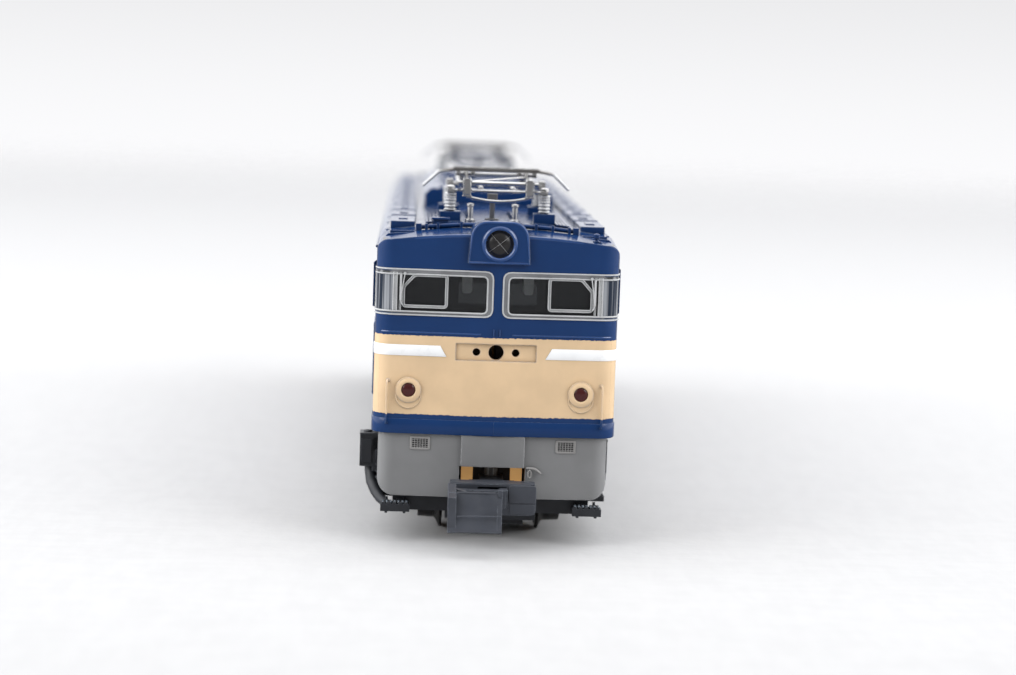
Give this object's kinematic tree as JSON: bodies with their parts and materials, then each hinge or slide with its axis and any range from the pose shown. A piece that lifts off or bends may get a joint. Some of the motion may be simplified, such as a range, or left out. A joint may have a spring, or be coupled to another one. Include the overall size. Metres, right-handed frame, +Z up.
{
  "type": "model electric locomotive",
  "caption": "Small-scale double-ended electric locomotive with flat cab fronts, swivelling bogies, raising pantographs and loop-and-hook couplers.",
  "frame": {"origin": "on the rail tops, under the middle of the locomotive", "axes": "+Z up, -Y towards the front cab, +X to the right of someone facing the front cab"},
  "size_m": [0.0206, 0.114, 0.0284],
  "materials": {
    "blue_body": "gloss",
    "grey_skirt": "satin",
    "clear_plastic": "clear",
    "red_lens": "clear",
    "diecast": "satin",
    "steel": "satin",
    "magnet": "matte",
    "black_plastic": "satin",
    "bronze": "satin",
    "brass": "satin",
    "board": "satin",
    "silver_metal": "satin",
    "insulator": "gloss",
    "frame_black": "satin",
    "gear_plastic": "satin",
    "wheel_steel": "satin"
  },
  "bodies": {
    "body": {"body_shell": "blue_body", "front_skirt": "grey_skirt", "rear_skirt": "grey_skirt", "front_cab_glazing": "clear_plastic", "rear_cab_glazing": "clear_plastic", "side_glazing": "clear_plastic", "headlight_lenses": "clear_plastic", "tail_lamp_lenses": "red_lens", "chassis_left": "diecast", "chassis_right": "diecast", "chassis_screws": "steel", "chassis_spacers": "black_plastic", "motor_can": "steel", "motor_magnets": "magnet", "motor_end_cap": "black_plastic", "motor_brushes": "bronze", "worm_bearings": "bronze", "light_boards": "board", "contact_strips": "bronze", "front_pantograph_base": "silver_metal", "rear_pantograph_base": "silver_metal", "pantograph_insulators": "insulator"},
    "motor_rotor": {"motor_armature": "steel", "flywheels": "brass"},
    "front_worm_shaft": {"front_worm": "brass"},
    "rear_worm_shaft": {"rear_worm": "brass"},
    "front_bogie": {"front_bogie_frame": "frame_black", "front_gear_case": "frame_black", "front_pickups": "bronze"},
    "front_top_gear_body": {"front_top_gear": "gear_plastic"},
    "front_bogie_front_idler_body": {"front_bogie_front_idler": "gear_plastic"},
    "front_bogie_front_axle": {"front_bogie_front_wheelset": "wheel_steel"},
    "front_bogie_rear_idler_body": {"front_bogie_rear_idler": "gear_plastic"},
    "front_bogie_rear_axle": {"front_bogie_rear_wheelset": "wheel_steel"},
    "rear_bogie": {"rear_bogie_frame": "frame_black", "rear_gear_case": "frame_black", "rear_pickups": "bronze"},
    "rear_top_gear_body": {"rear_top_gear": "gear_plastic"},
    "rear_bogie_front_idler_body": {"rear_bogie_front_idler": "gear_plastic"},
    "rear_bogie_front_axle": {"rear_bogie_front_wheelset": "wheel_steel"},
    "rear_bogie_rear_idler_body": {"rear_bogie_rear_idler": "gear_plastic"},
    "rear_bogie_rear_axle": {"rear_bogie_rear_wheelset": "wheel_steel"},
    "middle_slider": {"middle_bogie_slider": "frame_black"},
    "middle_bogie": {"middle_bogie_frame": "frame_black"},
    "middle_bogie_front_axle": {"middle_bogie_front_wheelset": "wheel_steel"},
    "middle_bogie_rear_axle": {"middle_bogie_rear_wheelset": "wheel_steel"},
    "front_coupler_carrier": {"front_coupler_pocket": "black_plastic"},
    "front_coupler_head": {"front_coupler": "black_plastic"},
    "rear_coupler_carrier": {"rear_coupler_pocket": "black_plastic"},
    "rear_coupler_head": {"rear_coupler": "black_plastic"},
    "front_pantograph_lower_front": {"front_pantograph_front_lower_arm": "silver_metal"},
    "front_pantograph_lower_rear": {"front_pantograph_rear_lower_arm": "silver_metal"},
    "front_pantograph_upper_front": {"front_pantograph_front_upper_arm": "silver_metal"},
    "front_pantograph_upper_rear": {"front_pantograph_rear_upper_arm": "silver_metal"},
    "front_pantograph_collector": {"front_pantograph_head": "silver_metal"},
    "rear_pantograph_lower_front": {"rear_pantograph_front_lower_arm": "silver_metal"},
    "rear_pantograph_lower_rear": {"rear_pantograph_rear_lower_arm": "silver_metal"},
    "rear_pantograph_upper_front": {"rear_pantograph_front_upper_arm": "silver_metal"},
    "rear_pantograph_upper_rear": {"rear_pantograph_rear_upper_arm": "silver_metal"},
    "rear_pantograph_collector": {"rear_pantograph_head": "silver_metal"}
  },
  "joints": [
    {"name": "motor_spin", "type": "hinge", "parent": "body", "child": "motor_rotor", "pos_m": [0, 0, 0.01286], "axis": [0, 1, 0], "continuous": true},
    {"name": "front_worm_spin", "type": "hinge", "parent": "body", "child": "front_worm_shaft", "pos_m": [0, -0.034, 0.01286], "axis": [0, 1, 0], "continuous": true},
    {"name": "rear_worm_spin", "type": "hinge", "parent": "body", "child": "rear_worm_shaft", "pos_m": [0, 0.034, 0.01286], "axis": [0, 1, 0], "continuous": true},
    {"name": "front_bogie_swivel", "type": "hinge", "parent": "body", "child": "front_bogie", "pos_m": [0, -0.034, 0.009], "axis": [0, 0, 1], "range_deg": [-7, 7]},
    {"name": "front_top_gear_spin", "type": "hinge", "parent": "front_bogie", "child": "front_top_gear_body", "pos_m": [0, -0.034, 0.00821], "axis": [1, 0, 0], "continuous": true},
    {"name": "front_bogie_front_idler_spin", "type": "hinge", "parent": "front_bogie", "child": "front_bogie_front_idler_body", "pos_m": [0, -0.039, 0.00581], "axis": [1, 0, 0], "continuous": true},
    {"name": "front_bogie_front_axle_spin", "type": "hinge", "parent": "front_bogie", "child": "front_bogie_front_axle", "pos_m": [0, -0.04333, 0.00373], "axis": [1, 0, 0], "continuous": true},
    {"name": "front_bogie_rear_idler_spin", "type": "hinge", "parent": "front_bogie", "child": "front_bogie_rear_idler_body", "pos_m": [0, -0.029, 0.00581], "axis": [1, 0, 0], "continuous": true},
    {"name": "front_bogie_rear_axle_spin", "type": "hinge", "parent": "front_bogie", "child": "front_bogie_rear_axle", "pos_m": [0, -0.02467, 0.00373], "axis": [1, 0, 0], "continuous": true},
    {"name": "rear_bogie_swivel", "type": "hinge", "parent": "body", "child": "rear_bogie", "pos_m": [0, 0.034, 0.009], "axis": [0, 0, 1], "range_deg": [-7, 7]},
    {"name": "rear_top_gear_spin", "type": "hinge", "parent": "rear_bogie", "child": "rear_top_gear_body", "pos_m": [0, 0.034, 0.00821], "axis": [1, 0, 0], "continuous": true},
    {"name": "rear_bogie_front_idler_spin", "type": "hinge", "parent": "rear_bogie", "child": "rear_bogie_front_idler_body", "pos_m": [0, 0.029, 0.00581], "axis": [1, 0, 0], "continuous": true},
    {"name": "rear_bogie_front_axle_spin", "type": "hinge", "parent": "rear_bogie", "child": "rear_bogie_front_axle", "pos_m": [0, 0.02467, 0.00373], "axis": [1, 0, 0], "continuous": true},
    {"name": "rear_bogie_rear_idler_spin", "type": "hinge", "parent": "rear_bogie", "child": "rear_bogie_rear_idler_body", "pos_m": [0, 0.039, 0.00581], "axis": [1, 0, 0], "continuous": true},
    {"name": "rear_bogie_rear_axle_spin", "type": "hinge", "parent": "rear_bogie", "child": "rear_bogie_rear_axle", "pos_m": [0, 0.04333, 0.00373], "axis": [1, 0, 0], "continuous": true},
    {"name": "middle_bogie_slide", "type": "slide", "parent": "body", "child": "middle_slider", "axis": [1, 0, 0], "range_m": [-0.0012, 0.0012]},
    {"name": "middle_bogie_swivel", "type": "hinge", "parent": "middle_slider", "child": "middle_bogie", "pos_m": [0, 0, 0.0054], "axis": [0, 0, 1], "range_deg": [-4, 4]},
    {"name": "middle_bogie_front_axle_spin", "type": "hinge", "parent": "middle_bogie", "child": "middle_bogie_front_axle", "pos_m": [0, -0.00933, 0.00373], "axis": [1, 0, 0], "continuous": true},
    {"name": "middle_bogie_rear_axle_spin", "type": "hinge", "parent": "middle_bogie", "child": "middle_bogie_rear_axle", "pos_m": [0, 0.00933, 0.00373], "axis": [1, 0, 0], "continuous": true},
    {"name": "front_coupler_swing", "type": "hinge", "parent": "body", "child": "front_coupler_carrier", "pos_m": [0, -0.048, 0.0033], "axis": [0, 0, 1], "range_deg": [-8, 8]},
    {"name": "front_coupler_lift", "type": "hinge", "parent": "front_coupler_carrier", "child": "front_coupler_head", "pos_m": [0, -0.0521, 0.0033], "axis": [-1, 0, 0], "range_deg": [0, 10]},
    {"name": "rear_coupler_swing", "type": "hinge", "parent": "body", "child": "rear_coupler_carrier", "pos_m": [0, 0.048, 0.0033], "axis": [0, 0, 1], "range_deg": [-8, 8]},
    {"name": "rear_coupler_lift", "type": "hinge", "parent": "rear_coupler_carrier", "child": "rear_coupler_head", "pos_m": [0, 0.0521, 0.0033], "axis": [1, 0, 0], "range_deg": [0, 10]},
    {"name": "front_pantograph_raise", "type": "hinge", "parent": "body", "child": "front_pantograph_lower_front", "pos_m": [0, -0.0374, 0.0263], "axis": [-1, 0, 0], "range_deg": [0, 48]},
    {"name": "front_pantograph_rear_raise", "type": "hinge", "parent": "body", "child": "front_pantograph_lower_rear", "pos_m": [0, -0.0354, 0.0263], "axis": [1, 0, 0], "range_deg": [0, 48]},
    {"name": "front_pantograph_front_fold", "type": "hinge", "parent": "front_pantograph_lower_front", "child": "front_pantograph_upper_front", "pos_m": [0, -0.04339, 0.02672], "axis": [1, 0, 0], "range_deg": [0, 92.34]},
    {"name": "front_pantograph_rear_fold", "type": "hinge", "parent": "front_pantograph_lower_rear", "child": "front_pantograph_upper_rear", "pos_m": [0, -0.02941, 0.02672], "axis": [-1, 0, 0], "range_deg": [0, 92.34]},
    {"name": "front_pantograph_head_level", "type": "hinge", "parent": "front_pantograph_upper_front", "child": "front_pantograph_collector", "pos_m": [0, -0.0364, 0.02717], "axis": [-1, 0, 0], "range_deg": [0, 44.34]},
    {"name": "rear_pantograph_raise", "type": "hinge", "parent": "body", "child": "rear_pantograph_lower_front", "pos_m": [0, 0.0354, 0.0263], "axis": [-1, 0, 0], "range_deg": [0, 48]},
    {"name": "rear_pantograph_rear_raise", "type": "hinge", "parent": "body", "child": "rear_pantograph_lower_rear", "pos_m": [0, 0.0374, 0.0263], "axis": [1, 0, 0], "range_deg": [0, 48]},
    {"name": "rear_pantograph_front_fold", "type": "hinge", "parent": "rear_pantograph_lower_front", "child": "rear_pantograph_upper_front", "pos_m": [0, 0.02941, 0.02672], "axis": [1, 0, 0], "range_deg": [0, 92.34]},
    {"name": "rear_pantograph_rear_fold", "type": "hinge", "parent": "rear_pantograph_lower_rear", "child": "rear_pantograph_upper_rear", "pos_m": [0, 0.04339, 0.02672], "axis": [-1, 0, 0], "range_deg": [0, 92.34]},
    {"name": "rear_pantograph_head_level", "type": "hinge", "parent": "rear_pantograph_upper_front", "child": "rear_pantograph_collector", "pos_m": [0, 0.0364, 0.02717], "axis": [-1, 0, 0], "range_deg": [0, 44.34]}
  ],
  "couplings": [
    {"joint": "front_worm_spin", "follows": "motor_spin", "ratio": 1},
    {"joint": "rear_worm_spin", "follows": "motor_spin", "ratio": 1},
    {"joint": "front_top_gear_spin", "follows": "motor_spin", "ratio": 0.047619},
    {"joint": "front_bogie_front_idler_spin", "follows": "motor_spin", "ratio": -0.0625},
    {"joint": "front_bogie_front_axle_spin", "follows": "motor_spin", "ratio": 0.0625},
    {"joint": "front_bogie_rear_idler_spin", "follows": "motor_spin", "ratio": -0.0625},
    {"joint": "front_bogie_rear_axle_spin", "follows": "motor_spin", "ratio": 0.0625},
    {"joint": "rear_top_gear_spin", "follows": "motor_spin", "ratio": 0.047619},
    {"joint": "rear_bogie_front_idler_spin", "follows": "motor_spin", "ratio": -0.0625},
    {"joint": "rear_bogie_front_axle_spin", "follows": "motor_spin", "ratio": 0.0625},
    {"joint": "rear_bogie_rear_idler_spin", "follows": "motor_spin", "ratio": -0.0625},
    {"joint": "rear_bogie_rear_axle_spin", "follows": "motor_spin", "ratio": 0.0625},
    {"joint": "front_pantograph_rear_raise", "follows": "front_pantograph_raise", "ratio": 1},
    {"joint": "front_pantograph_front_fold", "follows": "front_pantograph_raise", "ratio": 1.9235},
    {"joint": "front_pantograph_rear_fold", "follows": "front_pantograph_raise", "ratio": 1.9235},
    {"joint": "front_pantograph_head_level", "follows": "front_pantograph_raise", "ratio": 0.9235},
    {"joint": "rear_pantograph_rear_raise", "follows": "rear_pantograph_raise", "ratio": 1},
    {"joint": "rear_pantograph_front_fold", "follows": "rear_pantograph_raise", "ratio": 1.9235},
    {"joint": "rear_pantograph_rear_fold", "follows": "rear_pantograph_raise", "ratio": 1.9235},
    {"joint": "rear_pantograph_head_level", "follows": "rear_pantograph_raise", "ratio": 0.9235}
  ]
}
